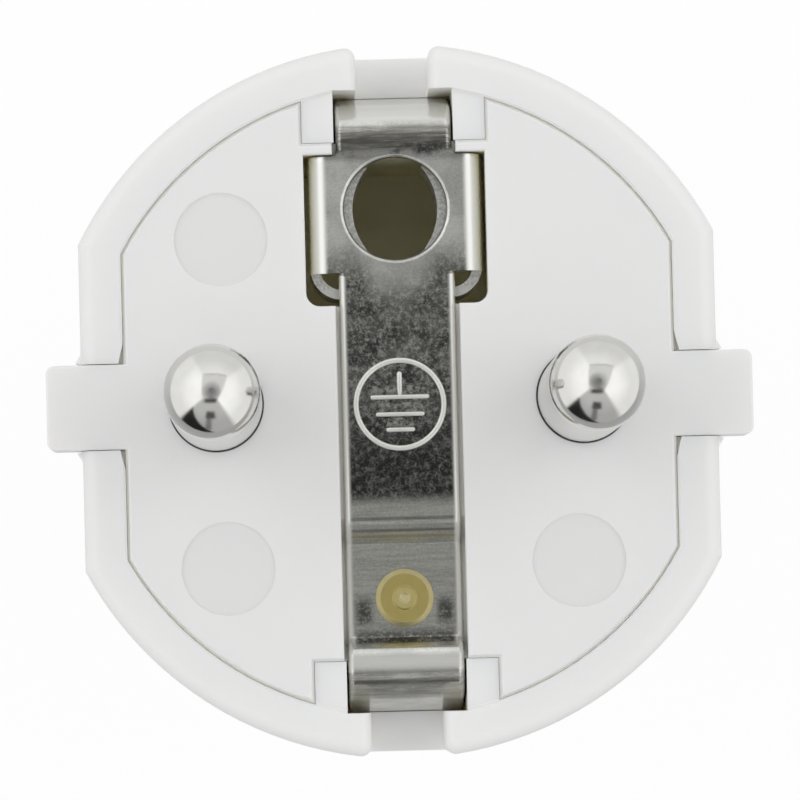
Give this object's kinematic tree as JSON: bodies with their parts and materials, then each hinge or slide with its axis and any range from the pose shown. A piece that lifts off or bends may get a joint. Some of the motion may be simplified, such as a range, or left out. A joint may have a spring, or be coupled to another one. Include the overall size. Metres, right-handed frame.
{
  "type": "electrical plug",
  "caption": "Straight mains plug: white moulded cover and contact carrier, round plated pins, folded earth strip with side contacts and a hole for an earth pin.",
  "frame": {"origin": "middle of the flat rear end, on which the plug stands", "axes": "+Z along the pins, towards their tips; X across the two pins; +Y towards the hole for the earth pin"},
  "size_m": [0.0364, 0.0366, 0.061],
  "materials": {
    "cover_plastic": "satin moulded",
    "carrier_plastic": "satin moulded",
    "pin_plating": "polished nickel plate",
    "strip_plating": "dull nickel plate",
    "terminal_brass": "turned",
    "screw_steel": "zinc plated",
    "clamp_plastic": "moulded"
  },
  "bodies": {
    "root": {"outer_cover": "cover_plastic", "face_insert": "carrier_plastic", "left_pin": "pin_plating", "right_pin": "pin_plating", "left_terminal_screw": "screw_steel", "right_terminal_screw": "screw_steel", "earth_strip": "strip_plating", "earth_terminal": "terminal_brass", "earth_terminal_screw": "screw_steel", "cord_clamp_bar": "clamp_plastic", "cord_clamp_screws": "screw_steel"}
  },
  "joints": []
}
